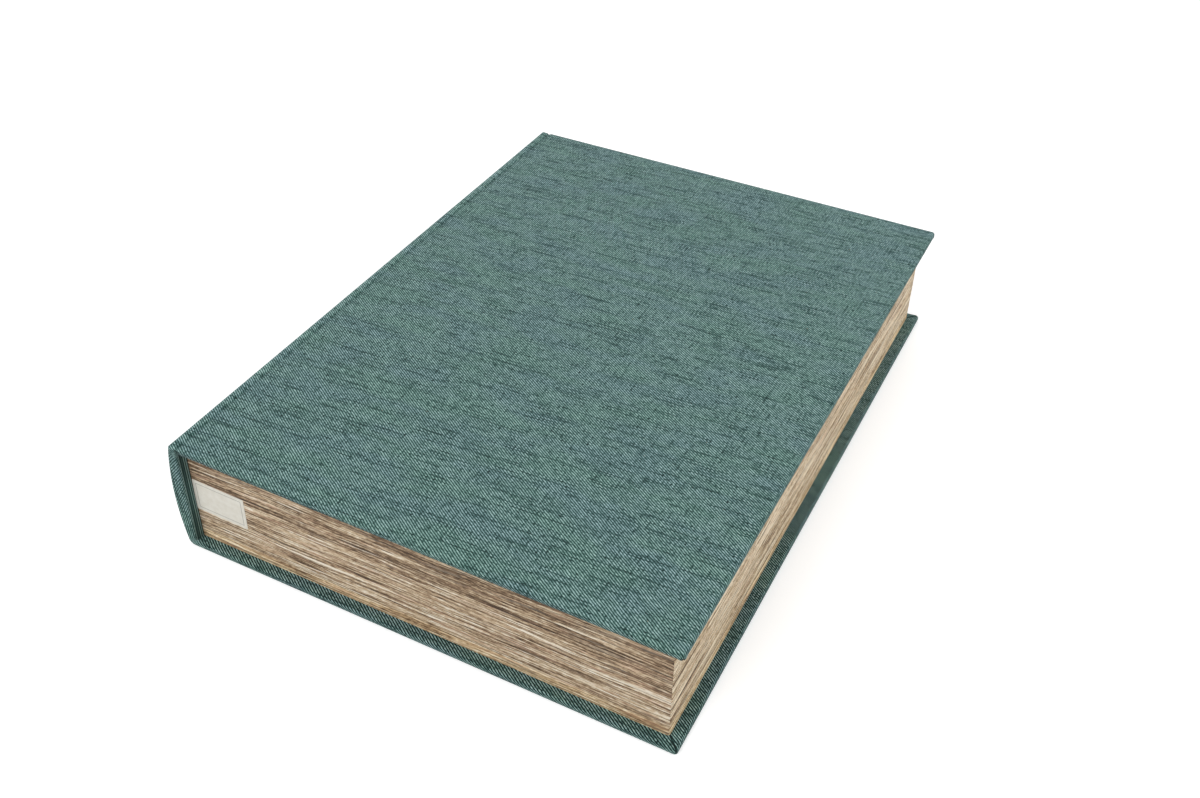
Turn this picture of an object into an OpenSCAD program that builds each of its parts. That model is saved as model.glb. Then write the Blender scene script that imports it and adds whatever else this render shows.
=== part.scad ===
// Book box: a shallow tray between two cloth covered boards, with a rounded spine.
// It lies flat with its lid up. X runs from the spine to the fore-edge, Y from the
// tail of the book to its head and Z up. The origin is under the middle of the box.

/* [Cover] */
// Length of the covers along the spine
cover_l = 326; // [200:1:420]
// Width of the covers, from the edge of the spine to the fore-edge
cover_w = 240; // [150:1:320]
// Height of the closed box
box_h = 58; // [45:1:100]
// Thickness of the lid's and the base's board
board_t = 2.5; // [1.8:0.1:4]
// Thickness of the cloth
cloth_t = 0.4; // [0.2:0.05:0.6]
// Radius of the covers' corners, seen from above
corner_r = 1.5; // [1.5:0.5:8]
// Radius of the covers' soft edges, seen from the side
edge_r = 1.1; // [0.7:0.05:1.3]
// Width of the cloth turned in over the edges
turn_in = 12; // [9:0.5:25]
// Width of the seam where two turned-in edges meet at a corner
mitre_gap = 0.3; // [0.1:0.05:0.6]

/* [Spine] */
// Thickness of the spine board at its long edges
spine_t = 3.2; // [2.4:0.1:6]
// How far the middle of the spine stands out past its edges
spine_bulge = 3; // [1:0.25:8]
// Radius of the spine's lower edge
spine_foot_r = 3.5; // [2:0.25:6]
// Radius of the spine's upper edge
spine_top_r = 1.2; // [0.7:0.1:2.5]

/* [Hinge] */
// Width of the crease between the spine and the lid
hinge_gap = 1.2; // [0.8:0.1:2]
// Depth of the crease
crease_depth = 0.6; // [0.3:0.1:1.2]
// Reach of the inner hinge strip on the spine and on the lid
strip_reach = 22; // [14:1:28]

/* [Tray] */
// How far the tray stands back from the covers at the tail and the head
end_inset = 5; // [4.5:0.25:8]
// How far the tray stands back from the covers at the fore-edge
fore_inset = 5.5; // [4.5:0.25:8]
// Thickness of the tray's walls
wall_t = 4; // [3:0.25:6]
// Thickness of the tray's floor
floor_t = 2; // [1:0.25:4]
// Thickness of the paper printed like page edges
paper_t = 0.3; // [0.15:0.05:0.5]
// How far that paper is turned down inside the walls
paper_lip = 12; // [6:0.5:18]
// Radius of the tray's upright corners
tray_corner_r = 1; // [0.6:0.1:2]
// Thickness of the lining paper
liner_t = 0.3; // [0.15:0.05:0.5]

/* [Closure] */
// Length of each magnet
magnet_l = 20; // [10:1:30]
// Thickness of each magnet
magnet_w = 2; // [1:0.1:2.4]
// Height of each magnet
magnet_h = 5; // [3:0.5:10]
// Distance from each end of the tray to the middle of the magnet near it
magnet_from_end = 68; // [30:1:80]
// Room round each magnet and each steel plate
fit_gap = 0.1; // [0.05:0.05:0.2]
// Length of each steel plate
plate_l = 24; // [12:1:36]
// Width of each steel plate
plate_w = 7; // [4:0.5:9]
// Thickness of each steel plate
plate_t = 0.5; // [0.3:0.1:1]

/* [Sticker] */
// Width of the sticker
sticker_w = 28; // [16:1:60]
// Height of the sticker
sticker_h = 17.4; // [10:0.2:20]
// Thickness of the sticker
sticker_t = 0.12; // [0.08:0.02:0.2]
// Radius of the sticker's corners
sticker_corner_r = 0.6; // [0.2:0.1:2]
// Gap between the sticker and the spine
sticker_gap = 0.6; // [0.5:0.1:20]
// Height of the sticker's lower edge above the base's upper face
sticker_z = 16.6; // [2:0.2:18]
// Turn of the sticker from level, in degrees
sticker_turn = -1; // [-1.5:0.5:1.5]

/* [Hidden] */
$fn = 64;

// Colours
cloth_colour = [0.38, 0.48, 0.47];
board_colour = [0.62, 0.48, 0.34];
page_colour = [0.74, 0.65, 0.53];
liner_colour = [0.86, 0.83, 0.76];
steel_colour = [0.7, 0.71, 0.73];
sticker_colour = [0.92, 0.9, 0.85];

// Segments in a quarter of a small arc, in the long arc of the spine and across the crease
small_arc = 6;
spine_arc = 24;
crease_arc = 12;
// A little more than nothing, for cuts that run out through a face
over = 0.5;

// Thickness of a covered board, cloth on both faces
cover_t = board_t + 2 * cloth_t;

// Places along X
fore_x = (cover_w + spine_bulge) / 2;
back_x = fore_x - cover_w;
spine_face_x = back_x + cloth_t + spine_t;
inner_x = spine_face_x + cloth_t;
lid_x = inner_x + hinge_gap;
lid_board_x = lid_x + cloth_t;

// Heights of the lid's faces
lid_z = box_h - cover_t;
lid_board_z = lid_z + cloth_t;
board_top_z = box_h - cloth_t;

// The tray's outside
tray_x0 = inner_x;
tray_x1 = fore_x - fore_inset;
tray_l = cover_l - 2 * end_inset;
tray_z0 = cover_t;
tray_z1 = lid_z;
wall_top_z = tray_z1 - paper_t;
// Depths of the tray's layers, from its outside
wall_in = paper_t;
wall_out = paper_t + wall_t;

// Radii as their boards' thickness allows them
edge = min(edge_r, 0.45 * cover_t, 0.9 * corner_r);
foot_r = min(spine_foot_r, spine_t + cloth_t);

// The spine's round outer face passes through both of its long edges
spine_r = (pow(box_h / 2, 2) + pow(spine_bulge, 2)) / (2 * spine_bulge);
spine_cx = back_x - spine_bulge + spine_r;

// Middle of each magnet and the plate above it
magnet_x = tray_x1 - paper_t - wall_t / 2;
magnet_y = tray_l / 2 - magnet_from_end;

// Points along an arc, from angle a to angle b
function arc(cx, cy, r, a, b, n) =
    [for (i = [0 : n]) let (t = a + (b - a) * i / n) [cx + r * cos(t), cy + r * sin(t)]];

// Points of a rectangle with round corners
function rounded_points(x0, x1, y0, y1, r) = concat(
    arc(x0 + r, y0 + r, r, 180, 270, small_arc),
    arc(x1 - r, y0 + r, r, 270, 360, small_arc),
    arc(x1 - r, y1 - r, r, 0, 90, small_arc),
    arc(x0 + r, y1 - r, r, 90, 180, small_arc));

// Centre of a small arc that is tangent to the spine's round face from inside
function tangent_x(z, r) = spine_cx - sqrt(pow(spine_r - r, 2) - pow(box_h / 2 - z, 2));

// Outline of the spine seen from its tail end, drawn in by an inset. The small arcs at
// its foot and its top run smoothly into the long arc between them.
module spine_profile(inset) {
    top_z = box_h - spine_top_r;
    top_x = tangent_x(top_z, spine_top_r);
    foot_x = tangent_x(foot_r, foot_r);
    top_turn = atan2(top_z - box_h / 2, top_x - spine_cx);
    foot_turn = 360 + atan2(foot_r - box_h / 2, foot_x - spine_cx);
    flat_x = inner_x - inset;
    polygon(concat(
        [[flat_x, box_h - inset]],
        arc(top_x, top_z, spine_top_r - inset, 90, top_turn, small_arc),
        arc(spine_cx, box_h / 2, spine_r - inset, top_turn, foot_turn, spine_arc),
        arc(foot_x, foot_r, foot_r - inset, foot_turn, 270, small_arc),
        [[flat_x, inset]]));
}

// Section through a slab's soft edge. The slab is on the left of it.
module edge_profile(reach, t, r) {
    polygon(concat([[0, 0]], arc(reach - r, r, r, -90, 0, small_arc),
                   arc(reach - r, t - r, r, 0, 90, small_arc), [[0, t]]));
}

// Slab that is cut square at x0 and has soft edges on its other three sides
module soft_slab(x0, x1, l, t, corner, soft) {
    run = x1 - corner - x0;
    side = l / 2 - corner;
    translate([x0, -side, 0]) cube([run, 2 * side, t]);
    // Tail and head edges
    for (m = [0, 1]) mirror([0, m, 0])
        translate([x0, side, 0]) rotate([90, 0, 90])
            linear_extrude(run) edge_profile(corner, t, soft);
    // Fore-edge
    translate([x0 + run, side, 0]) rotate([90, 0, 0])
        linear_extrude(2 * side) edge_profile(corner, t, soft);
    // Corners
    for (m = [0, 1]) mirror([0, m, 0])
        translate([x0 + run, side, 0])
            rotate_extrude(angle = 90) edge_profile(corner, t, soft);
}

// Seams of the turned-in cloth at the tail and head corners of a cover's inner face
module mitre_seams(z) {
    seam_l = 2 * turn_in;
    for (m = [0, 1]) mirror([0, m, 0])
        translate([fore_x, cover_l / 2, z]) rotate([0, 0, 225])
            translate([corner_r * (sqrt(2) - 1) + cloth_t, -mitre_gap / 2, 0])
                cube([seam_l, mitre_gap, cloth_t + over]);
}

// Outline of the tray seen from above, drawn in by an inset. Its corners are round
// on the outside, and sharp inside the walls.
module tray_outline(inset) {
    x0 = tray_x0 + inset;
    x1 = tray_x1 - inset;
    y1 = tray_l / 2 - inset;
    if (inset < tray_corner_r) polygon(rounded_points(x0, x1, -y1, y1, tray_corner_r - inset));
    else translate([x0, -y1]) square([x1 - x0, 2 * y1]);
}

// Upright band between two insets of the tray's outline
module tray_band(outer, inner, z0, z1) {
    translate([0, 0, z0]) linear_extrude(z1 - z0) difference() {
        tray_outline(outer);
        tray_outline(inner);
    }
}

module base_board() {
    color(board_colour)
        translate([0, 0, cloth_t])
            soft_slab(spine_face_x, fore_x - cloth_t, cover_l - 2 * cloth_t, board_t,
                      corner_r - cloth_t, edge - cloth_t);
}

module spine_board() {
    color(board_colour)
        rotate([90, 0, 0])
            linear_extrude(cover_l - 2 * cloth_t, center = true) spine_profile(cloth_t);
}

// One skin round the base and the spine, turned in over their edges
module case_cloth() {
    open_l = cover_l - 2 * turn_in;
    color(cloth_colour)
        difference() {
            union() {
                soft_slab(inner_x - over, fore_x, cover_l, cover_t, corner_r, edge);
                rotate([90, 0, 0])
                    linear_extrude(cover_l, center = true) spine_profile(0);
            }
            base_board();
            spine_board();
            // Open middle of the base's upper face
            translate([spine_face_x, -open_l / 2, cloth_t + board_t])
                cube([fore_x - turn_in - spine_face_x, open_l, cloth_t + over]);
            // Open middle of the spine's inner face
            translate([spine_face_x, -open_l / 2, cloth_t + board_t])
                cube([cloth_t + over, open_l, board_top_z - cloth_t - board_t]);
            mitre_seams(cloth_t + board_t);
        }
}

module spine_hinge_strip() {
    open_l = cover_l - 2 * turn_in;
    color(cloth_colour)
        translate([spine_face_x, -open_l / 2, board_top_z - strip_reach])
            cube([cloth_t, open_l, strip_reach]);
}

module tray_floor() {
    color(board_colour)
        translate([0, 0, tray_z0]) linear_extrude(floor_t) tray_outline(wall_out);
}

// A wall across the end of the tray, with round outer corners
module tray_end_wall() {
    color(board_colour)
        translate([0, 0, tray_z0]) linear_extrude(wall_top_z - tray_z0) intersection() {
            tray_outline(wall_in);
            translate([tray_x0, tray_l / 2 - wall_out]) square([tray_x1 - tray_x0, wall_t]);
        }
}

module tail_wall() {
    mirror([0, 1, 0]) tray_end_wall();
}

module head_wall() {
    tray_end_wall();
}

// Wall between the end walls, with its outer face at x
module tray_side_wall(x) {
    l = tray_l - 2 * wall_out;
    color(board_colour)
        translate([x, -l / 2, tray_z0]) cube([wall_t, l, wall_top_z - tray_z0]);
}

module fore_edge_wall() {
    color(board_colour)
        difference() {
            tray_side_wall(tray_x1 - wall_out);
            both_closures() magnet_block(fit_gap);
        }
}

module spine_side_wall() {
    tray_side_wall(tray_x0 + wall_in);
}

// Paper round the outside of the walls, over their top and down inside them
module page_edge_paper() {
    color(page_colour) {
        tray_band(0, wall_in, tray_z0, wall_top_z);
        tray_band(0, wall_out + paper_t, wall_top_z, tray_z1);
        tray_band(wall_out, wall_out + paper_t, tray_z1 - paper_lip, wall_top_z);
    }
}

module wall_liner() {
    color(liner_colour)
        tray_band(wall_out, wall_out + liner_t, tray_z0 + floor_t, tray_z1 - paper_lip);
}

module floor_liner() {
    color(liner_colour)
        translate([0, 0, tray_z0 + floor_t]) linear_extrude(liner_t)
            tray_outline(wall_out + liner_t);
}

// Copies what stands at the middle to both closures along the fore-edge
module both_closures() {
    for (s = [-1, 1]) translate([magnet_x, s * magnet_y, 0]) children();
}

// A magnet, or with room round it the slot that it sits in
module magnet_block(room) {
    translate([-magnet_w / 2 - room, -magnet_l / 2 - room, wall_top_z - magnet_h - room])
        cube([magnet_w + 2 * room, magnet_l + 2 * room, magnet_h + room + (room > 0 ? over : 0)]);
}

module magnets() {
    color(steel_colour) both_closures() magnet_block(0);
}

// A steel plate, or with room round it the recess in the lid's board
module plate_block(room) {
    translate([-plate_w / 2 - room, -plate_l / 2 - room, lid_board_z - (room > 0 ? over : 0)])
        cube([plate_w + 2 * room, plate_l + 2 * room, plate_t + room + (room > 0 ? over : 0)]);
}

module strike_plates() {
    color(steel_colour) both_closures() plate_block(0);
}

// Small blank paper on the tail face beside the spine
module sticker() {
    color(sticker_colour)
        translate([tray_x0 + sticker_gap + sticker_w / 2, -tray_l / 2,
                   tray_z0 + sticker_z + sticker_h / 2])
            rotate([90, 0, 0]) rotate([0, 0, sticker_turn])
                linear_extrude(sticker_t)
                    polygon(rounded_points(-sticker_w / 2, sticker_w / 2, -sticker_h / 2,
                                           sticker_h / 2, sticker_corner_r));
}

// Cloth pressed down into the crease
module hinge_cloth() {
    dip = [for (i = [0 : crease_arc]) let (u = i / crease_arc)
           [inner_x + hinge_gap * u, box_h - crease_depth * (1 - cos(360 * u)) / 2]];
    underside = [for (i = [crease_arc : -1 : 0]) dip[i] - [0, cloth_t]];
    color(cloth_colour)
        rotate([90, 0, 0]) linear_extrude(cover_l, center = true)
            polygon(concat(dip, underside));
}

module lid_board() {
    color(board_colour)
        difference() {
            translate([0, 0, lid_board_z])
                soft_slab(lid_board_x, fore_x - cloth_t, cover_l - 2 * cloth_t, board_t,
                          corner_r - cloth_t, edge - cloth_t);
            both_closures() plate_block(fit_gap);
        }
}

// Skin over the lid, turned in over its edges
module lid_cloth() {
    open_l = cover_l - 2 * turn_in;
    color(cloth_colour)
        difference() {
            translate([0, 0, lid_z])
                soft_slab(lid_x, fore_x, cover_l, cover_t, corner_r, edge);
            translate([0, 0, lid_board_z])
                soft_slab(lid_board_x, fore_x - cloth_t, cover_l - 2 * cloth_t, board_t,
                          corner_r - cloth_t, edge - cloth_t);
            // Open middle of the lid's lower face
            translate([lid_x - over, -open_l / 2, lid_z - over])
                cube([fore_x - turn_in - lid_x + over, open_l, cloth_t + over]);
            // Bare edge along the crease
            translate([lid_x - over, -open_l / 2, lid_z - over])
                cube([cloth_t + over, open_l, cover_t - cloth_t + over]);
            mirror([0, 0, 1]) mitre_seams(-lid_board_z);
        }
}

module lid_hinge_strip() {
    open_l = cover_l - 2 * turn_in;
    color(cloth_colour)
        translate([lid_x, -open_l / 2, 0]) {
            translate([0, 0, lid_z]) cube([cloth_t, open_l, cover_t - cloth_t]);
            translate([0, 0, lid_z]) cube([strip_reach, open_l, cloth_t]);
        }
}

module lid_liner() {
    open_l = cover_l - 2 * turn_in;
    x0 = lid_x + strip_reach;
    color(liner_colour)
        translate([x0, -open_l / 2, lid_board_z - liner_t])
            cube([fore_x - turn_in - x0, open_l, liner_t]);
}

base_board();
spine_board();
case_cloth();
spine_hinge_strip();
tray_floor();
tail_wall();
head_wall();
fore_edge_wall();
spine_side_wall();
page_edge_paper();
wall_liner();
floor_liner();
magnets();
sticker();
hinge_cloth();
lid_board();
lid_cloth();
lid_hinge_strip();
lid_liner();
strike_plates();
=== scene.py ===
"""Dresses the book box: woven cloth over its case, crease and lid, printed page edges round its
tray, lining papers, boards, magnets and plates, with the studio that it lies in."""

import math

import bmesh
import bpy
from mathutils import Matrix, Vector


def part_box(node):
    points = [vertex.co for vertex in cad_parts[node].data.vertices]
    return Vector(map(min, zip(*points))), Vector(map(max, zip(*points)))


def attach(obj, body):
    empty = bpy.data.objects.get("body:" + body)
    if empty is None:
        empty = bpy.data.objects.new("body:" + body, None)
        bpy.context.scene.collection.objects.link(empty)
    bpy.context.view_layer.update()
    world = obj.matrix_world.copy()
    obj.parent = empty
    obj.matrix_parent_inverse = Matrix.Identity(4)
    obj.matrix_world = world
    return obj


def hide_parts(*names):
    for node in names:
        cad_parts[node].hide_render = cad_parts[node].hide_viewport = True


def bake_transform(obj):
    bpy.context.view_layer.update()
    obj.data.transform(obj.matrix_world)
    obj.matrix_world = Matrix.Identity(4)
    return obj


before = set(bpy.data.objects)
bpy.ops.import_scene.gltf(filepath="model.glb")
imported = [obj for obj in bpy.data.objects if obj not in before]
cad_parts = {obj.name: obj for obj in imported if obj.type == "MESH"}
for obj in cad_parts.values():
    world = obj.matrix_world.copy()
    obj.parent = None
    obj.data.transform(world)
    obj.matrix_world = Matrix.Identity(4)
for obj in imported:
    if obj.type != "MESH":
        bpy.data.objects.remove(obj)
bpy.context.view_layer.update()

MM = 0.001
TINY = 1e-6
# Points that a cut leaves this close together become one
SLIVER = 0.03 * MM
# Faces that meet at a greater angle have a sharp edge between them
SHARP = math.radians(40)
# A face looks along an axis where that part of its normal is above FACING, and lies parallel to
# the axis where it is below PARALLEL
FACING = 0.9
PARALLEL = 0.01

# Sizes that the frame gives
case_lo, case_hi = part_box("case_cloth")
lid_lo, lid_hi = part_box("lid_cloth")
board_lo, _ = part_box("base_board")
paper_lo, paper_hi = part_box("page_edge_paper")
wall_lo, wall_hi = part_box("tail_wall")
sticker_lo, sticker_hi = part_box("sticker")
HALF_L = case_hi.y
FORE_X = case_hi.x
INNER_X = paper_lo.x
LID_X = lid_lo.x
TOP_Z = lid_hi.z
COVER_T = lid_hi.z - lid_lo.z
CLOTH_T = board_lo.z - case_lo.z
CREASE_X = (INNER_X + LID_X) / 2

# Sizes of the cloth covered boards
SOFT_EDGE = 1.1 * MM
CORNER_R = 1.5 * MM
TURN_IN = 12 * MM
SPINE_BULGE = 3 * MM
SPINE_TOP_R = 1.2 * MM
SPINE_FOOT_R = 3.5 * MM
CREASE_DEPTH = 0.6 * MM
CREASE_REACH = 1.5 * MM
# Where the soft rims of the tail and head start, and where the turned-in cloth ends
RIM_Y = HALF_L - SOFT_EDGE
WINDOW_Y = HALF_L - TURN_IN
WINDOW_X = FORE_X - TURN_IN
# Heights of the folded cloth beside the seam of a mitre, at distances from the seam, in mm
MITRE = [(0, -0.36), (0.35, 0.1), (1.1, 0.2), (2.4, 0)]

# Sizes of the tray's paper
PAPER_T = paper_hi.z - wall_hi.z
PAPERED_WALL = wall_hi.y - wall_lo.y + 2 * PAPER_T
PAPER_LIP = 12 * MM
TRAY_CORNER_R = 1 * MM

# Steps in the rounds and bends
RIM_STEPS = 6
CORNER_STEPS = 8
SPINE_STEPS = 24
SPINE_EDGE_STEPS = 6
CREASE_STEPS = 8
CREASE_CUTS = 5
TRAY_CORNER_STEPS = 6


# Shaping with bmesh


def near(a, b):
    return abs(a - b) < TINY


def arc(centre, radius, start, end, steps):
    """Points round a circle, with the angles in radians."""
    turns = [start + (end - start) * i / steps for i in range(steps + 1)]
    return [(centre[0] + radius * math.cos(t), centre[1] + radius * math.sin(t)) for t in turns]


def cut(bm, place, normal, faces=None):
    """Cuts the faces, or the whole mesh, along a plane, and keeps both sides."""
    faces = bm.faces[:] if faces is None else faces
    edges = {e for f in faces for e in f.edges}
    verts = {v for f in faces for v in f.verts}
    bmesh.ops.bisect_plane(
        bm, geom=[*faces, *edges, *verts], dist=TINY / 10, plane_co=place, plane_no=normal
    )


def remove_faces(bm, test):
    """Takes away the faces whose middle and normal pass the test."""
    bm.normal_update()
    gone = [f for f in bm.faces if test(f.calc_center_median(), f.normal)]
    bmesh.ops.delete(bm, geom=gone, context="FACES")


def round_off(bm, parts, radius, steps, affect="EDGES"):
    """Rounds edges, or with VERTICES the corners of a flat face."""
    bmesh.ops.bevel(
        bm,
        geom=parts,
        offset=radius,
        offset_type="OFFSET",
        segments=steps,
        profile=0.5,
        affect=affect,
        material=-1,
        clamp_overlap=False,
    )


def only(kind, parts):
    return [p for p in parts if isinstance(p, kind)]


def merge_slivers(bm):
    """Merges points that lie within SLIVER of each other, in the order of their places, so that
    every run keeps the same ones."""
    order = sorted(bm.verts, key=lambda v: [round(c / TINY) for c in v.co])
    rank = {v: i for i, v in enumerate(order)}
    bm.verts.sort(key=rank.get)
    bmesh.ops.remove_doubles(bm, verts=bm.verts, dist=SLIVER)


def extruded(outline):
    """Body with that outline, seen from the tail, over the length of the covers."""
    bm = bmesh.new()
    face = bm.faces.new([bm.verts.new((x, -HALF_L, z)) for x, z in outline])
    grown = bmesh.ops.extrude_face_region(bm, geom=[face])["geom"]
    moved = only(bmesh.types.BMVert, grown)
    bmesh.ops.translate(bm, vec=(0, 2 * HALF_L, 0), verts=moved)
    bmesh.ops.recalc_face_normals(bm, faces=bm.faces)
    return bm


def drawn_out(bm, edges, move):
    """Draws faces out of the edges by that move, and gives their far points and edges."""
    grown = bmesh.ops.extrude_edge_only(bm, edges=edges)["geom"]
    verts = only(bmesh.types.BMVert, grown)
    bmesh.ops.translate(bm, vec=move, verts=verts)
    return verts, only(bmesh.types.BMEdge, grown)


def soften(bm, square_x=None):
    """Rounds a covered board's fore corners, then the rims all round it but not at square_x."""
    corners = [e for e in bm.edges if all(near(v.co.x, FORE_X) for v in e.verts)]
    corners = [e for e in corners if near(e.verts[0].co.y, e.verts[1].co.y)]
    round_off(bm, corners, CORNER_R, CORNER_STEPS)
    bm.normal_update()
    sides = set()
    for f in bm.faces:
        middle = f.calc_center_median()
        at_end = abs(middle.y) > HALF_L - CORNER_R - TINY
        at_fore = middle.x > FORE_X - CORNER_R - TINY
        if abs(f.normal.z) < PARALLEL and (at_end or at_fore):
            sides.add(f)
    rims = [e for e in bm.edges if sum(f in sides for f in e.link_faces) == 1]
    if square_x is not None:
        rims = [e for e in rims if not all(near(v.co.x, square_x) for v in e.verts)]
    round_off(bm, rims, SOFT_EDGE, RIM_STEPS)
    bmesh.ops.remove_doubles(bm, verts=bm.verts, dist=TINY)


def put(name, data):
    """Adds an object with that data to the scene."""
    thing = bpy.data.objects.new(name, data)
    bpy.context.scene.collection.objects.link(thing)
    return thing


def put_mesh(name, bm, material):
    mesh = bpy.data.meshes.new(name)
    bm.to_mesh(mesh)
    bm.free()
    mesh.materials.append(material)
    return put(name, mesh)


def finished(name, bm, material, thickness):
    """Makes the piece's object, smooth but for its sharp edges and its rims."""
    for e in bm.edges:
        e.smooth = not e.is_boundary and e.calc_face_angle(0) < SHARP
    for f in bm.faces:
        f.smooth = True
    piece = put_mesh(name, bm, material)
    wall = piece.modifiers.new("thickness", "SOLIDIFY")
    wall.thickness = thickness
    wall.offset = -1
    return piece


# The cloth's own flat coordinates: u across the covers, v along the spine, in metres. The lid's
# face lies at its own x and y, and the cloth runs on from it over the crease and round the spine.


def lay_out(bm, place):
    """Lays the corners of each face on the flat cloth, by the chart that place(middle) gives."""
    layer = bm.loops.layers.uv.new("cloth")
    for f in bm.faces:
        chart = place(f.calc_center_median())
        for loop in f.loops:
            loop[layer].uv = chart(loop.vert.co)


def round_rim(out, depth, thickness):
    """Way along the cloth round a soft rim. out is how far a point is past the start of the rim's
    round, and depth how far it is from the outer face."""
    quarter = SOFT_EDGE * math.pi / 2
    turn = SOFT_EDGE * math.asin(min(1, out / SOFT_EDGE)) if out > 0 else out
    if depth < SOFT_EDGE - TINY:
        return turn
    if depth > thickness - SOFT_EDGE + TINY:
        return 2 * quarter + thickness - 2 * SOFT_EDGE - turn
    return quarter + depth - SOFT_EDGE


def board_chart(middle, outer_z):
    """Chart of a face of a covered board, whose outer face is at outer_z."""
    inside = abs(middle.z - outer_z) > COVER_T / 2
    end_gap = HALF_L - abs(middle.y)
    fore_gap = FORE_X - middle.x
    side = math.copysign(1, middle.y)

    def at_corner(co):
        core = Vector((FORE_X - CORNER_R, side * (HALF_L - CORNER_R)))
        reach = co.xy - core
        out = reach.length - CORNER_R + SOFT_EDGE
        way = CORNER_R - SOFT_EDGE + round_rim(out, abs(co.z - outer_z), COVER_T)
        if not inside:
            return core + reach.normalized() * way
        # Inside, the cloth turned in from the end meets that from the fore-edge at the mitre
        turn = math.atan2(max(0, reach.x), max(0, side * reach.y))
        if end_gap < fore_gap:
            return core + Vector((CORNER_R * turn, side * way))
        return core + Vector((way, side * CORNER_R * (math.pi / 2 - turn)))

    def at_end(co):
        way = RIM_Y + round_rim(abs(co.y) - HALF_L + SOFT_EDGE, abs(co.z - outer_z), COVER_T)
        return Vector((co.x, side * way))

    def at_fore(co):
        out = co.x - FORE_X + SOFT_EDGE
        return Vector((FORE_X - SOFT_EDGE + round_rim(out, abs(co.z - outer_z), COVER_T), co.y))

    def at_crease(co):
        return Vector((LID_X - abs(co.z - outer_z), co.y))

    if near(middle.x, LID_X):
        return at_crease
    if end_gap < CORNER_R and fore_gap < CORNER_R:
        return at_corner
    if end_gap < CORNER_R or (inside and end_gap < fore_gap):
        return at_end
    if fore_gap < CORNER_R or inside:
        return at_fore
    return lambda co: co.xy


# Outline of the spine and way along it


def spine_outline():
    """The spine's outer face from its top to the base's underside, seen from the tail."""
    half_h = TOP_Z / 2
    radius = (half_h**2 + SPINE_BULGE**2) / (2 * SPINE_BULGE)
    centre_x = case_lo.x + radius

    def tangent_x(z, r):
        return centre_x - math.sqrt((radius - r) ** 2 - (half_h - z) ** 2)

    top = (tangent_x(TOP_Z - SPINE_TOP_R, SPINE_TOP_R), TOP_Z - SPINE_TOP_R)
    foot = (tangent_x(SPINE_FOOT_R, SPINE_FOOT_R), SPINE_FOOT_R)
    top_turn = math.atan2(top[1] - half_h, top[0] - centre_x)
    foot_turn = 2 * math.pi + math.atan2(foot[1] - half_h, foot[0] - centre_x)
    return [
        *arc(top, SPINE_TOP_R, math.pi / 2, top_turn, SPINE_EDGE_STEPS),
        *arc((centre_x, half_h), radius, top_turn, foot_turn, SPINE_STEPS)[1:],
        *arc(foot, SPINE_FOOT_R, foot_turn, 1.5 * math.pi, SPINE_EDGE_STEPS)[1:],
    ]


SPINE_FACE = spine_outline()
FOOT_X = SPINE_FACE[-1][0]
SPINE_LINE = [Vector(p) for p in [(INNER_X, TOP_Z), *SPINE_FACE, (INNER_X, 0)]]
SPINE_WAY = sum((b - a).length for a, b in zip(SPINE_LINE, SPINE_LINE[1:]))


def along_spine(x, z):
    """(way along the spine's outer face from the crease, distance from it) of a point."""
    best, gone = (0, math.inf), 0
    for a, b in zip(SPINE_LINE, SPINE_LINE[1:]):
        step = b - a
        share = min(1, max(0, (Vector((x, z)) - a).dot(step) / step.length_squared))
        away = (Vector((x, z)) - a - share * step).length
        if away < best[1] - TINY:
            best = (gone + share * step.length, away)
        gone += step.length
    return best


def spine_x(z):
    """The x of the spine's outer face at a height."""
    for a, b in zip(SPINE_LINE[1:], SPINE_LINE[2:-1]):
        if b.y <= z <= a.y:
            return a.x + (b.x - a.x) * (a.y - z) / max(a.y - b.y, TINY)
    return FOOT_X


def spine_chart(co):
    way, depth = along_spine(co.x, co.z)
    out = abs(co.y) - HALF_L + SOFT_EDGE
    wide = INNER_X - spine_x(co.z)
    # The rim of the inner face counts as that face, where the base doesn't run on from it
    if co.z > COVER_T + TINY and INNER_X - co.x < SOFT_EDGE - TINY and depth > SOFT_EDGE:
        depth = wide
    v = RIM_Y + round_rim(out, depth, wide)
    return Vector((INNER_X - way, math.copysign(v, co.y)))


def case_chart(middle):
    """Chart of a face of the spine, or of the base, whose cloth runs on from the spine's foot."""
    if middle.x < INNER_X:
        return spine_chart
    chart = board_chart(middle, 0)

    def under(co):
        flat = chart(co)
        return Vector((2 * INNER_X - SPINE_WAY - flat.x, flat.y))

    return under


# Details pressed into the cloth


def press_crease(bm):
    """Sinks the crease between the spine and the lid, and lets it run on round the ends."""
    rim_z = TOP_Z - SOFT_EDGE
    for v in bm.verts:
        gap = abs(v.co.x - CREASE_X) / CREASE_REACH
        if gap >= 1 or v.co.z < lid_lo.z + TINY:
            continue
        out = Vector((0, max(0, abs(v.co.y) - RIM_Y), max(0, v.co.z - rim_z)))
        if out.length < SOFT_EDGE / 2:
            continue
        out.y = math.copysign(out.y, v.co.y)
        v.co -= out.normalized() * CREASE_DEPTH * (1 + math.cos(math.pi * gap)) / 2


def mitre(side, inner_z):
    """Inner end of the seam of a fore corner, and the way square to the seam."""
    inner = Vector((WINDOW_X, side * WINDOW_Y, inner_z))
    return inner, Vector((1, -side, 0)).normalized()


def cut_mitres(bm, inner_z):
    """Cuts the lines beside the seams of the two fore corners, where the turned-in cloth meets."""
    for side in (-1, 1):
        inner, normal = mitre(side, inner_z)
        for gap in sorted({sign * d for d, _ in MITRE for sign in (-1, 1)}):
            faces = []
            for f in bm.faces:
                c = f.calc_center_median()
                beyond = c.x > inner.x and side * c.y > side * inner.y
                if beyond and abs(c.z - inner_z) < COVER_T - SOFT_EDGE:
                    faces.append(f)
            cut(bm, inner + normal * gap * MM, normal, faces)


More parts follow.
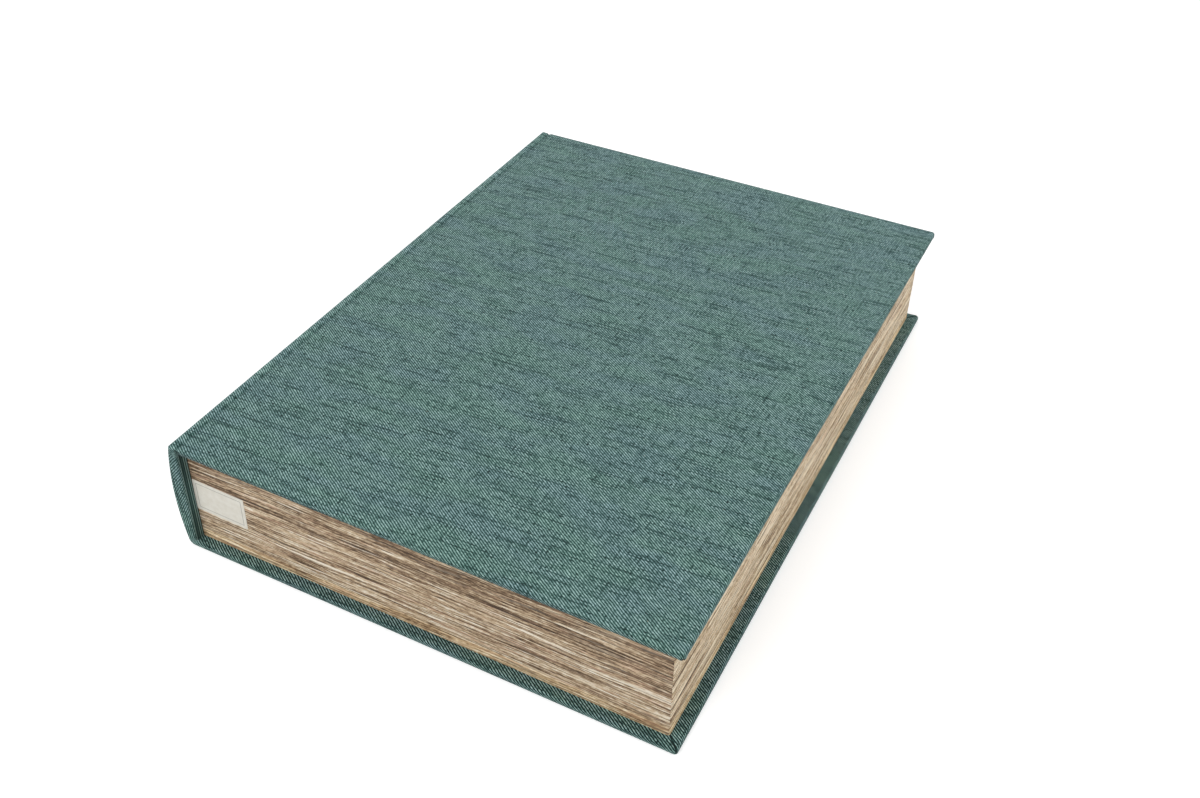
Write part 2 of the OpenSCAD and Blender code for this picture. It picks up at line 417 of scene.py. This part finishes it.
def press_mitres(bm, inner_z):
    """Sinks the seams of the mitres, and lifts the cloth beside them where no tray stands on it."""
    bm.normal_update()
    moves = []
    for v in bm.verts:
        for side in (-1, 1):
            inner, normal = mitre(side, inner_z)
            if v.co.x < inner.x - TINY or side * v.co.y < side * inner.y - TINY:
                continue
            depth = abs(v.co.z - inner_z)
            if depth > COVER_T - SOFT_EDGE:
                continue
            gap = abs((v.co - inner).dot(normal)) / MM
            for (a, low), (b, high) in zip(MITRE, MITRE[1:]):
                if a <= gap < b:
                    height = low + (high - low) * (gap - a) / (b - a)
                    if v.co.x < paper_hi.x + TINY or side * v.co.y < paper_hi.y + TINY:
                        height = min(height, 0)
                    fade = 1 - depth / (COVER_T - SOFT_EDGE)
                    moves.append((v, v.normal * height * MM * fade))
    for v, move in moves:
        v.co += move


# The cloth


def cut_board(bm, inner_z):
    """Cuts a covered board along the lines that its charts, its window and its mitres need."""
    for side in (-1, 1):
        for inset in (CORNER_R, TURN_IN):
            cut(bm, (0, side * (HALF_L - inset), 0), (0, 1, 0))
    for inset in (CORNER_R, TURN_IN):
        cut(bm, (FORE_X - inset, 0, 0), (1, 0, 0))
    cut_mitres(bm, inner_z)


def cut_crease(bm, side):
    """Cuts the lines along which the crease's one side, 1 on the lid and -1 on the spine, sinks."""
    edge = (LID_X if side > 0 else INNER_X) - CREASE_X
    for i in range(CREASE_CUTS + 1):
        across = side * CREASE_REACH * i / CREASE_CUTS
        if abs(across) > abs(edge) + TINY:
            top = [f for f in bm.faces if f.calc_center_median().z > TOP_Z - SOFT_EDGE]
            cut(bm, (CREASE_X + across, 0, 0), (1, 0, 0), top)


def lid_skin():
    """Cloth over the lid, turned in over its tail, head and fore-edge, and closed at the ends of
    its edge along the crease."""
    z0, z1 = lid_lo.z, lid_hi.z
    bm = extruded([(LID_X, z0), (FORE_X, z0), (FORE_X, z1), (LID_X, z1)])
    soften(bm, square_x=LID_X)
    cut_board(bm, z0)
    cut_crease(bm, 1)
    cut(bm, (0, 0, z1 - CLOTH_T), (0, 0, 1))
    remove_faces(bm, lambda c, n: n.z < -FACING and abs(c.y) < WINDOW_Y and c.x < WINDOW_X)
    remove_faces(bm, lambda c, n: n.x < -FACING and (abs(c.y) < WINDOW_Y or c.z > z1 - CLOTH_T))
    merge_slivers(bm)
    lay_out(bm, lambda middle: board_chart(middle, z1))
    press_mitres(bm, z0)
    press_crease(bm)
    return bm


def case_skin():
    """Cloth round the base and the spine, turned in over their edges."""
    top, foot = (INNER_X, TOP_Z), (INNER_X, COVER_T)
    bm = extruded([top, *SPINE_FACE, (FORE_X, 0), (FORE_X, COVER_T), foot])
    soften(bm)
    cut(bm, (INNER_X, 0, 0), (1, 0, 0))
    cut(bm, (0, 0, COVER_T), (0, 0, 1))
    cut(bm, (0, 0, TOP_Z - CLOTH_T), (0, 0, 1))
    for _, z in SPINE_FACE:
        if COVER_T + TINY < z < TOP_Z - TINY:
            cut(bm, (0, 0, z), (0, 0, 1))
    cut_board(bm, COVER_T)
    cut_crease(bm, -1)

    def in_window(c, n):
        base = n.z > FACING and near(c.z, COVER_T) and c.x < WINDOW_X
        spine = n.x > FACING and near(c.x, INNER_X)
        return abs(c.y) < WINDOW_Y and (base or spine)

    remove_faces(bm, in_window)
    remove_faces(bm, lambda c, n: n.x > FACING and near(c.x, INNER_X) and c.z > TOP_Z - CLOTH_T)
    merge_slivers(bm)
    lay_out(bm, case_chart)
    press_mitres(bm, COVER_T)
    press_crease(bm)
    return bm


def crease_skin():
    """Cloth of the crease, with its two ends turned down round the soft rims."""
    bm = bmesh.new()
    across = [INNER_X + (LID_X - INNER_X) * i / CREASE_STEPS for i in range(CREASE_STEPS + 1)]
    middle = [bm.verts.new((x, 0, TOP_Z)) for x in across]
    start = [bm.edges.new(pair) for pair in zip(middle, middle[1:])]
    for side in (-1, 1):
        _, ends = drawn_out(bm, start, (0, side * RIM_Y, 0))
        bmesh.ops.spin(
            bm,
            geom=ends,
            cent=(0, side * RIM_Y, TOP_Z - SOFT_EDGE),
            axis=(1, 0, 0),
            angle=-side * math.pi / 2,
            steps=RIM_STEPS,
        )
    bmesh.ops.remove_doubles(bm, verts=bm.verts, dist=TINY)
    bmesh.ops.recalc_face_normals(bm, faces=bm.faces)
    bm.normal_update()
    if sum(f.normal.z for f in bm.faces) < 0:
        bmesh.ops.reverse_faces(bm, faces=bm.faces)

    def chart(co):
        way = RIM_Y + round_rim(abs(co.y) - RIM_Y, 0, COVER_T)
        return Vector((co.x, math.copysign(way, co.y)))

    lay_out(bm, lambda middle: chart)
    press_crease(bm)
    return bm


# The tray's printed paper


def page_band():
    """Paper round the outside of the tray, over its walls and down inside them."""
    bm = bmesh.new()
    low, high = paper_lo, paper_hi
    bmesh.ops.create_grid(bm, x_segments=1, y_segments=1, size=0.5)
    bmesh.ops.scale(bm, vec=(high.x - low.x, high.y - low.y, 1), verts=bm.verts)
    bmesh.ops.translate(bm, vec=((low.x + high.x) / 2, 0, low.z), verts=bm.verts)
    round_off(bm, bm.verts[:], TRAY_CORNER_R, TRAY_CORNER_STEPS, "VERTICES")
    bmesh.ops.delete(bm, geom=bm.faces[:], context="FACES_ONLY")
    _, edges = drawn_out(bm, bm.edges[:], (0, 0, high.z - low.z))
    verts, edges = drawn_out(bm, edges, (0, 0, 0))
    for v in verts:
        v.co.x = min(max(v.co.x, low.x + PAPERED_WALL), high.x - PAPERED_WALL)
        v.co.y = min(max(v.co.y, low.y + PAPERED_WALL), high.y - PAPERED_WALL)
    drawn_out(bm, edges, (0, 0, -PAPER_LIP))
    bmesh.ops.remove_doubles(bm, verts=bm.verts, dist=TINY)
    bmesh.ops.recalc_face_normals(bm, faces=bm.faces)
    bm.normal_update()
    outer = max(bm.faces, key=lambda f: f.calc_center_median().x)
    if outer.normal.x < 0:
        bmesh.ops.reverse_faces(bm, faces=bm.faces)
    return bm


# Where the print of each wall starts, so that no two walls are alike, and where it turns paler
PRINT_START = {"tail": 0, "head": 2.0, "fore": 4.0, "spine": 6.0}
PALE_FROM = 3.0


def gaps_to_sides(co):
    """How far a point of the tray's paper is from the outside of each wall."""
    return {
        "spine": co.x - paper_lo.x,
        "fore": paper_hi.x - co.x,
        "tail": co.y - paper_lo.y,
        "head": paper_hi.y - co.y,
    }


def lay_out_pages(bm):
    """Lays each wall's paper flat: u along the wall and v up it, over its top and down inside."""
    layer = bm.loops.layers.uv.new("pages")
    rise = paper_hi.z - paper_lo.z
    for f in bm.faces:
        gaps = gaps_to_sides(f.calc_center_median())
        side = min(gaps, key=gaps.get)
        inside = f.normal.z < 0.5 and gaps[side] > PAPERED_WALL / 2
        for loop in f.loops:
            co = loop.vert.co
            along = co.x if side in ("tail", "head") else co.y
            up = co.z - paper_lo.z
            if inside:
                up = 2 * rise - up
            over = min(gaps_to_sides(co)[side], PAPERED_WALL)
            loop[layer].uv = (along + PRINT_START[side], up + over)


# Materials

# Pitch of the cloth's yarns, and the slope at which they lie across the covers
WARP_PITCH = 0.91 * MM
WEFT_PITCH = 0.61 * MM
CLOTH_SKEW = 0.035
# Pitch of the comb-like lines along its warp, and of the bars along its weft
COMB_PITCH = 1.75 * MM
BAR_PITCH = 1.82 * MM
# How light its furrows are on the outside, and on the inner sides of the covers, where the darker
# furrows are painted shade
FURROW = 0.13
SHADED_FURROW_INSIDE = -0.02
RIB_RELIEF = 0.07 * MM
# Distance of the spine's shoulder from the crease
SHOULDER = 4.5 * MM
# Shares of the cloth's tone for the painted shade in the seams of the mitres and in the crease, and
# for the painted highlight on the spine's shoulder, with how far from their middle they are whole
# and how far they reach
SEAM_SHADE = 0.08
SEAM_WHOLE = 0.35 * MM
SEAM_REACH = 0.9 * MM
CREASE_SHADE = 0.72
CREASE_WHOLE = 0.2 * MM
SHOULDER_HIGHLIGHT = 1.24
SHOULDER_HIGHLIGHT_WHOLE = 2 * MM
SHOULDER_HIGHLIGHT_REACH = 4 * MM
# Screen colours from the furrows, at tone 0, to the lightest ribs, at the full tone. Their dark and
# light are partly the cloth's own two tones and partly painted shade in the furrows and painted
# highlight on the ribs. The hue stays and only the lightness changes.
FULL_TONE = 1.6
CLOTH_TONES = [
    (0.0, (2, 20, 19)),
    (0.05, (22, 53, 49)),
    (0.16, (60, 92, 88)),
    (0.31, (96, 128, 123)),
    (0.47, (122, 153, 149)),
    (0.63, (143, 173, 169)),
    (1.0, (170, 199, 195)),
]
BLUER = (0.966, 0.957, 1.025, 1)
GREENER = (0.96, 1.007, 0.952, 1)

# Pitch of the printed leaves, and their screen colours from the darkest tone to the palest
LEAF_PITCH = 1.2 * MM
LEAF_TONES = [
    (0.0, (70, 54, 40)),
    (0.3, (128, 104, 80)),
    (0.55, (184, 160, 130)),
    (0.78, (216, 197, 168)),
    (1.0, (238, 228, 210)),
]
DARKEST_LEAF = -1.3
PALEST_LEAF = 0.35
# The leaves of the fore-edge differ more from this middle tone
MIDDLE_LEAF = -0.06
FORE_CONTRAST = 1.35
# The tail and head are darker all over, and more so towards the upper of two heights
END_SHADE = 0.3
TOP_SHADE = 0.38
TOP_SHADE_FROM = 29 * MM
TOP_SHADE_FULL = 34 * MM
# The lowest leaves, up to this height, are warmer, and lighter as painted light against the shade
# of the ledge
WARM_HEIGHT = 5.2 * MM
WARMER_WITH_PAINTED_LIGHT = (1.16, 1.1, 0.98, 1)

# Half the size of the frame printed on the label, and its turn
LABEL_FRAME = (12.2 * MM, 6.9 * MM)
LABEL_TURN = math.radians(-1)

# Step in the noise from one yarn or leaf to the next, so that neighbours differ
APART = 7.3


def linear(*screen):
    """A screen colour, each part from 0 to 255, as the light that it stands for."""
    parts = [c / 255 for c in screen]
    return (*[c / 12.92 if c <= 0.04045 else ((c + 0.055) / 1.055) ** 2.4 for c in parts], 1)


class Finish:
    """A material. Its methods add a node, or a few, and return the outputs that they are there
    for, and wear() gives the finished material."""

    def __init__(self, name, sockets):
        self.material = bpy.data.materials.new(name)
        self.material.use_nodes = True
        self.nodes = self.material.node_tree.nodes
        self.links = self.material.node_tree.links
        self.shader = self.nodes["Principled BSDF"]
        for socket, value in sockets.items():
            self.shader.inputs[socket].default_value = value

    def add(self, kind, inputs, output=0, **settings):
        """Adds a node, whose inputs are each a value or the output of another node."""
        node = self.nodes.new("ShaderNode" + kind)
        for name, value in settings.items():
            setattr(node, name, value)
        for socket, value in inputs.items():
            if isinstance(value, bpy.types.NodeSocket):
                self.links.new(value, node.inputs[socket])
            else:
                node.inputs[socket].default_value = value
        return node.outputs[output]

    def math(self, operation, *values):
        return self.add("Math", dict(enumerate(values)), operation=operation)

    def plus(self, a, b):
        return self.math("ADD", a, b)

    def minus(self, a, b):
        return self.math("SUBTRACT", a, b)

    def times(self, a, b):
        return self.math("MULTIPLY", a, b)

    def over(self, a, b):
        return self.math("DIVIDE", a, b)

    def unsigned(self, a):
        return self.math("ABSOLUTE", a)

    def wave(self, value, period):
        """Swings from 1 to -1 and back once in a period."""
        return self.math("COSINE", self.times(value, 2 * math.pi / period))

    def parts(self, vector):
        split = self.nodes.new("ShaderNodeSeparateXYZ")
        self.links.new(vector, split.inputs[0])
        return list(split.outputs)

    def uv(self, name):
        """The two parts of a place on one of the piece's own maps."""
        return self.parts(self.add("UVMap", {}, uv_map=name))[:2]

    def place(self):
        """The three parts of a place on the object."""
        return self.parts(self.add("TexCoord", {}, "Object"))

    def noise(self, x, y, size_x, size_y, detail=2.0, rough=0.5, shift=0.0):
        """Soft noise from 0 to 1 whose grains have these sizes."""
        place = {0: self.over(x, size_x), 1: self.over(y, size_y), 2: shift}
        vector = self.add("CombineXYZ", place)
        inputs = {"Vector": vector, "Scale": 1.0, "Detail": detail, "Roughness": rough}
        return self.add("TexNoise", inputs)

    def noise_through(self, size, detail, rough=0.5):
        """Soft noise from 0 to 1 through the whole body, whose grains have that size."""
        x, y, z = self.place()
        return self.noise(x, y, size, size, detail, rough, shift=self.over(z, size))

    def own_noise(self, number, along, length, seed):
        """Noise along each of many yarns or leaves, told apart by their whole numbers."""
        apart = self.plus(self.times(self.math("FLOOR", number), APART), seed)
        return self.noise(along, apart, length, 1.0, rough=0.6)

    def between(self, value, low, high, start=0.0, end=1.0, smooth=True):
        """Goes from start to end as a value goes from low to high."""
        kind = "SMOOTHSTEP" if smooth else "LINEAR"
        inputs = {"Value": value, 1: low, 2: high, 3: start, 4: end}
        return self.add("MapRange", inputs, interpolation_type=kind)

    def spread(self, noise, reach):
        """Turns noise from 0 to 1 into a swing about 0."""
        return self.times(self.minus(noise, 0.5), reach)

    def mixed(self, share, first, second, blend="MIX"):
        inputs = {0: share, 6: first, 7: second}
        return self.add("Mix", inputs, 2, data_type="RGBA", blend_type=blend)

    def tinted(self, share, colour, tint):
        """The colour as it is at share 0, and times the tint at share 1."""
        return self.mixed(share, colour, self.mixed(1.0, colour, tint, "MULTIPLY"))

    def ramp(self, value, stops):
        """Colour ramp through (place, screen colour) stops."""
        node = self.nodes.new("ShaderNodeValToRGB")
        self.links.new(value, node.inputs[0])
        while len(node.color_ramp.elements) < len(stops):
            node.color_ramp.elements.new(0.5)
        for element, (place, colour) in zip(node.color_ramp.elements, stops):
            element.position = place
            element.color = linear(*colour)
        return node.outputs[0]

    def wear(self, colour, height, depth, roughness=None):
        """Joins the finished colour, relief and roughness to the shader."""
        bump = self.add("Bump", {"Height": height, "Distance": depth, "Strength": 1.0})
        self.links.new(bump, self.shader.inputs["Normal"])
        if colour is not None:
            self.links.new(colour, self.shader.inputs["Base Color"])
        if roughness is not None:
            self.links.new(roughness, self.shader.inputs["Roughness"])
        return self.material


def turned_in(f):
    """1 where the cloth lies on the inner sides of the covers, and 0 elsewhere."""
    x, _, z = f.place()
    from_middle = f.unsigned(f.minus(z, TOP_Z / 2))
    inner_side = f.math("LESS_THAN", from_middle, TOP_Z / 2 - COVER_T / 2)
    return f.times(inner_side, f.math("GREATER_THAN", x, LID_X))


def mitre_shade(f, inner_side):
    """Painted shade along the seams where the turned-in cloth meets, on the inner sides of the
    covers.
    """
    x, y, _ = f.place()
    fore_gap = f.minus(FORE_X, x)
    end_gap = f.minus(HALF_L, f.unsigned(y))
    seam = f.unsigned(f.minus(fore_gap, end_gap))
    dark = f.between(seam, SEAM_WHOLE, SEAM_REACH, SEAM_SHADE, 1.0)
    near_corner = f.math("LESS_THAN", f.math("MAXIMUM", fore_gap, end_gap), TURN_IN)
    return f.between(f.times(near_corner, inner_side), 0.0, 1.0, 1.0, dark, smooth=False)


def book_cloth(name, coordinates):
    """Blue-green twill of light ribs over dark furrows, uneven in its yarns, with dark slubs.
    coordinates(f) is the way across the covers and the way along the spine."""
    sheen = {"Sheen Weight": 0.1, "Sheen Tint": (0.75, 0.9, 1, 1)}
    f = Finish(name, {"Roughness": 0.88, "Specular IOR Level": 0.25, **sheen})
    u, v = coordinates(f)
    # The cloth lies a little askew on its board
    v = f.minus(v, f.times(u, CLOTH_SKEW))
    warp = f.over(u, WARP_PITCH)
    weft = f.over(v, WEFT_PITCH)
    drift = f.spread(f.noise(u, v, 11 * MM, 8 * MM, detail=1.0), 1.1)
    wobble = f.spread(f.noise(u, v, 2.4 * MM, 1.6 * MM, detail=1.0, shift=5.0), 0.55)
    turn = f.plus(f.plus(warp, weft), f.plus(drift, wobble))
    rib = f.between(f.wave(turn, 2), -0.5, 0.95)
    # The ribs are rows of short floats, three to every two pitches
    float_end = f.wave(f.plus(warp, wobble), 2 / 3)
    rib = f.times(rib, f.between(float_end, -1.0, -0.35, 0.6, 1.0))
    # Every yarn has its own tone along it, and some are thick and dark for a way
    shade = f.plus(f.spread(f.own_noise(warp, v, 3 * MM, seed=0.0), 2.0), 0.95)
    shade = f.plus(f.spread(f.own_noise(weft, u, 4.5 * MM, seed=50.0), 2.1), shade)
    speckle = f.noise(u, v, 1.2 * MM, 0.8 * MM, detail=1.0, shift=23.0)
    shade = f.plus(f.spread(speckle, 1.5), shade)
    for way, pitch, seed in ((u, COMB_PITCH, 30.0), (v, BAR_PITCH, 31.0)):
        patches = f.noise(u, v, 14 * MM, 14 * MM, detail=1.0, shift=seed)
        strength = f.between(patches, 0.35, 0.65, 0.0, 0.2)
        shade = f.plus(f.times(f.wave(way, pitch), strength), shade)
    slub = f.between(f.own_noise(weft, u, 34 * MM, seed=90.0), 0.56, 0.63, 1.0, 0.4)
    comb = f.between(f.own_noise(warp, v, 12 * MM, seed=130.0), 0.6, 0.7, 1.0, 0.6)
    shade = f.times(shade, f.times(slub, comb))
    # Painted shade darkens the crease, and a painted highlight lightens the spine's shoulder
    from_crease = f.unsigned(f.minus(u, CREASE_X))
    painted_crease_shade = f.between(from_crease, CREASE_WHOLE, CREASE_REACH, CREASE_SHADE, 1.0)
    shade = f.times(shade, painted_crease_shade)
    # Painted highlight along the spine's shoulder
    from_shoulder = f.unsigned(f.minus(u, CREASE_X - SHOULDER))
    painted_shoulder_highlight = f.between(from_shoulder, SHOULDER_HIGHLIGHT_WHOLE, SHOULDER_HIGHLIGHT_REACH, SHOULDER_HIGHLIGHT, 1.0)
    shade = f.times(shade, painted_shoulder_highlight)
    inner_side = turned_in(f)
    shade = f.times(shade, mitre_shade(f, inner_side))
    # Painted shade: the furrows are darker on the inner sides of the covers
    furrow = f.between(inner_side, 0.0, 1.0, FURROW, SHADED_FURROW_INSIDE, smooth=False)
    # The dark furrows and light ribs are partly painted shade and painted highlight
    tone = f.times(f.between(rib, 0.0, 1.0, furrow, 1.0, smooth=False), shade)
    colour = f.ramp(f.over(tone, FULL_TONE), CLOTH_TONES)
    # Some of its stretches are bluer and some greener, and a few flecks are brown
    cloud = f.noise(u, v, 40 * MM, 15 * MM, detail=3.0, rough=0.6, shift=2.0)
    colour = f.tinted(f.between(cloud, 0.48, 0.62), colour, BLUER)
    colour = f.tinted(f.between(cloud, 0.5, 0.36), colour, GREENER)
    fleck = f.noise(u, v, 2.2 * MM, 1.3 * MM, detail=1.0, shift=14.0)
    fleck = f.times(rib, f.between(fleck, 0.76, 0.84, 0.0, 0.8))
    colour = f.mixed(fleck, colour, linear(136, 116, 78))
    return f.wear(colour, rib, RIB_RELIEF)


def page_print():
    """Paper printed like the edges of old pages, leaf over leaf."""
    f = Finish("page_print", {"Roughness": 0.62, "Specular IOR Level": 0.3})
    u, v = f.uv("pages")
    up = f.plus(v, f.spread(f.noise(u, v, 70 * MM, 30 * MM), 3.5 * MM))
    uneven = f.spread(f.noise(0.0, up, 1.0, 3.1 * MM, detail=1.0, shift=17.0), 1.5)
    leaf = f.plus(f.over(up, LEAF_PITCH), uneven)
    fine = f.times(leaf, 2.0)
    seam = f.plus(leaf, 0.5)
    tone = f.spread(f.noise(u, up, 90 * MM, 6 * MM, rough=0.6), 0.6)
    tone = f.plus(tone, f.spread(f.own_noise(leaf, u, 70 * MM, seed=0.0), 2.2))
    tone = f.plus(tone, f.spread(f.own_noise(fine, u, 36 * MM, seed=60.0), 3.8))
    tone = f.plus(tone, f.spread(f.noise(u, up, 3 * MM, 0.8 * MM, rough=0.6, shift=9.0), 2.2))
    # Thin dark lines run between the leaves for a way
    across = f.unsigned(f.minus(f.math("FRACT", leaf), 0.5))
    gap = f.between(across, 0.37, 0.47)
    depth = f.between(f.own_noise(seam, u, 60 * MM, seed=110.0), 0.44, 0.58, 0.2, 2.2)
    tone = f.minus(tone, f.times(gap, depth))
    # The ends are browner towards the top, and the fore-edge is paler, with sharper leaves
    at_end = f.between(u, PALE_FROM, PALE_FROM + 0.1, 1.0, 0.0)
    contrast = f.between(at_end, 0.0, 1.0, FORE_CONTRAST, 1.0)
    tone = f.plus(f.times(f.minus(tone, MIDDLE_LEAF), contrast), MIDDLE_LEAF)
    brown = f.between(up, TOP_SHADE_FROM, TOP_SHADE_FULL, 0.0, TOP_SHADE)
    tone = f.minus(tone, f.times(at_end, brown))
    tone = f.minus(tone, f.times(at_end, END_SHADE))
    colour = f.ramp(f.between(tone, DARKEST_LEAF, PALEST_LEAF, smooth=False), LEAF_TONES)
    rosy = f.between(f.own_noise(fine, u, 30 * MM, seed=20.0), 0.54, 0.68, 0.0, 0.4)
    grey = f.between(f.own_noise(fine, u, 34 * MM, seed=40.0), 0.55, 0.68, 0.0, 0.4)
    colour = f.mixed(rosy, colour, linear(206, 168, 142))
    colour = f.mixed(grey, colour, linear(156, 148, 134))
    cream = f.mixed(at_end, linear(255, 250, 240), linear(255, 255, 255))
    colour = f.mixed(1.0, colour, cream, "MULTIPLY")
    # Painted light: the lowest leaves are lighter, against the ledge's shade, as well as warmer
    colour = f.tinted(f.between(up, WARM_HEIGHT, WARM_HEIGHT - 1 * MM), colour, WARMER_WITH_PAINTED_LIGHT)
    return f.wear(colour, gap, 0.06 * MM)


def lining_paper():
    """Smooth off-white paper with a faint clouding and fibres."""
    f = Finish("lining_paper", {"Roughness": 0.75, "Specular IOR Level": 0.3})
    pale, dark = linear(232, 224, 206), linear(227, 218, 199)
    cloud = f.noise_through(18 * MM, 4.0, 0.6)
    fibres = f.noise_through(0.8 * MM, 3.0, 0.6)
    shade = f.mixed(f.between(cloud, 0.35, 0.7), pale, dark)
    shade = f.mixed(f.between(fibres, 0.55, 0.8, 0.0, 0.5), shade, dark)
    return f.wear(shade, fibres, 0.04 * MM)


def board():
    """Grey-brown board of pressed fibre."""
    f = Finish("board", {"Roughness": 0.9, "Specular IOR Level": 0.2})
    fibres = f.noise_through(0.7 * MM, 4.0, 0.65)
    cloud = f.noise_through(12 * MM, 3.0)
    colour = f.ramp(fibres, [(0.3, (104, 82, 60)), (0.5, (150, 122, 92)), (0.72, (186, 160, 126))])
    colour = f.mixed(f.between(cloud, 0.3, 0.7, 0.0, 0.35), colour, linear(128, 102, 76))
    return f.wear(colour, fibres, 0.08 * MM)


def steel():
    """Dull bright metal with fine scratches along it."""
    f = Finish("steel", {"Metallic": 1.0, "Base Color": linear(196, 198, 202)})
    x, y, _ = f.place()
    scratch = f.noise(x, y, 0.2 * MM, 7 * MM, detail=3.0, rough=0.7)
    return f.wear(None, scratch, 0.01 * MM, f.between(scratch, 0.3, 0.7, 0.26, 0.42))


def blank_label():
    """Off-white label with a thin printed frame and nothing in it."""
    f = Finish("blank_label", {"Roughness": 0.5, "Specular IOR Level": 0.35})
    x, _, z = f.place()
    middle = (sticker_lo + sticker_hi) / 2
    px = f.minus(x, middle.x)
    pz = f.minus(z, middle.z)
    cos, sin = math.cos(LABEL_TURN), math.sin(LABEL_TURN)
    along = f.plus(f.times(px, cos), f.times(pz, sin))
    up = f.plus(f.times(px, -sin), f.times(pz, cos))
    out_x = f.minus(f.unsigned(along), LABEL_FRAME[0])
    out_z = f.minus(f.unsigned(up), LABEL_FRAME[1])
    edge = f.unsigned(f.math("MAXIMUM", out_x, out_z))
    line = f.between(edge, 0.12 * MM, 0.24 * MM, 0.55, 0.0)
    cloud = f.noise(x, z, 3 * MM, 3 * MM, detail=3.0)
    colour = f.mixed(f.between(cloud, 0.3, 0.7), linear(226, 223, 213), linear(218, 214, 202))
    colour = f.mixed(line, colour, linear(120, 120, 116))
    return f.wear(colour, cloud, 0.01 * MM)


def cloth_on_map(f):
    return f.uv("cloth")


def cloth_upright(f):
    _, y, z = f.place()
    return z, y


def cloth_level(f):
    x, y, _ = f.place()
    return x, y


CLOTH = book_cloth("book_cloth", cloth_on_map)
SPINE_STRIP_CLOTH = book_cloth("book_cloth_upright", cloth_upright)
LID_STRIP_CLOTH = book_cloth("book_cloth_level", cloth_level)
PAGES = page_print()
LINING = lining_paper()
BOARD = board()
STEEL = steel()
LABEL = blank_label()


# The pieces


def dress(material, *names):
    """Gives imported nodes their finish."""
    for name in names:
        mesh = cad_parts[name].data
        mesh.materials.clear()
        mesh.materials.append(material)


dress(BOARD, "base_board", "spine_board", "lid_board", "tray_floor")
dress(BOARD, "tail_wall", "head_wall", "fore_edge_wall", "spine_side_wall")
dress(LINING, "wall_liner", "floor_liner", "lid_liner")
dress(STEEL, "magnets", "strike_plates")
dress(LABEL, "sticker")
dress(SPINE_STRIP_CLOTH, "spine_hinge_strip")
dress(LID_STRIP_CLOTH, "lid_hinge_strip")

lid_cover = finished("lid_cover", lid_skin(), CLOTH, CLOTH_T)
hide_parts("lid_cloth")
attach(lid_cover, "lid")

case_cover = finished("case_cover", case_skin(), CLOTH, CLOTH_T)
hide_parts("case_cloth")
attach(case_cover, "tray")

crease = finished("crease", crease_skin(), CLOTH, CLOTH_T)
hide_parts("hinge_cloth")
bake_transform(crease)

band = page_band()
lay_out_pages(band)
page_edges = finished("page_edges", band, PAGES, PAPER_T)
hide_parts("page_edge_paper")
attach(page_edges, "tray")


# The studio

# Strength of the even light from all round, and the glow that only the camera sees on the floor
SKY = 0.3
FLOOR_LIFT = 0.5
FLOOR_SIZE = 6
# Square softboxes, with their places and size in metres and their power in watts
SOFTBOX_SIZE = 1.1
SOFTBOXES = [
    ("key", (-0.45, -1.2, 1.2), 19.5),
    ("fill", (1.4, 0.3, 1.0), 15.0),
    ("back", (-0.5, 1.2, 1.2), 7.0),
]
# The photograph's camera, with its angles in degrees
CAMERA_AT = Vector((229.57, -451.63, 423.94)) * MM
AZIMUTH, ELEVATION, ROLL = 27.13, 36.78, 0.758
LENS = 39.145
SENSOR = 36
SHIFT = (0.00903, -0.04318)


def background():
    """White for the camera, for gloss and through glass, and plain even light for the rest."""
    world = bpy.data.worlds.new("studio")
    bpy.context.scene.world = world
    world.use_nodes = True
    nodes, links = world.node_tree.nodes, world.node_tree.links
    rays = nodes.new("ShaderNodeLightPath").outputs
    seen = rays["Is Camera Ray"]
    for kind in ("Is Glossy Ray", "Is Transmission Ray"):
        either = nodes.new("ShaderNodeMath")
        either.operation = "MAXIMUM"
        links.new(seen, either.inputs[0])
        links.new(rays[kind], either.inputs[1])
        seen = either.outputs[0]
    strength = nodes.new("ShaderNodeMapRange")
    strength.inputs["To Min"].default_value = SKY
    strength.inputs["To Max"].default_value = 1.0
    links.new(seen, strength.inputs["Value"])
    links.new(strength.outputs[0], nodes["Background"].inputs["Strength"])
    nodes["Background"].inputs["Color"].default_value = (1, 1, 1, 1)


def floor():
    """Pale floor that shows white to the camera where no shadow falls."""
    bm = bmesh.new()
    bmesh.ops.create_grid(bm, x_segments=1, y_segments=1, size=FLOOR_SIZE / 2)
    sockets = {
        "Base Color": (0.7, 0.7, 0.7, 1),
        "Roughness": 1.0,
        "Specular IOR Level": 0.0,
        "Emission Color": (1, 1, 1, 1),
    }
    f = Finish("floor", sockets)
    lift = f.times(f.add("LightPath", {}, "Is Camera Ray"), FLOOR_LIFT)
    f.links.new(lift, f.shader.inputs["Emission Strength"])
    plane = put_mesh("floor", bm, f.material)


def softbox(name, at, power):
    """Square lamp that faces the object."""
    light = bpy.data.lights.new(name, "AREA")
    light.shape = "SQUARE"
    light.size = SOFTBOX_SIZE
    light.energy = power
    lamp = put(name, light)
    lamp.location = at
    lamp.rotation_euler = (-Vector(at)).to_track_quat("-Z", "Y").to_euler()


def camera():
    """Camera at the photograph's viewing angle."""
    data = bpy.data.cameras.new("camera")
    data.sensor_fit = "HORIZONTAL"
    data.sensor_width = SENSOR
    data.lens = LENS
    data.shift_x, data.shift_y = SHIFT
    data.clip_start = 0.01
    eye = put("camera", data)
    turn = (
        Matrix.Rotation(math.radians(AZIMUTH), 4, "Z")
        @ Matrix.Rotation(math.radians(90 - ELEVATION), 4, "X")
        @ Matrix.Rotation(math.radians(ROLL), 4, "Z")
    )
    eye.matrix_world = Matrix.Translation(CAMERA_AT) @ turn
    bpy.context.scene.camera = eye


background()
floor()
for box in SOFTBOXES:
    softbox(*box)
camera()
bpy.context.scene.view_settings.view_transform = "Standard"
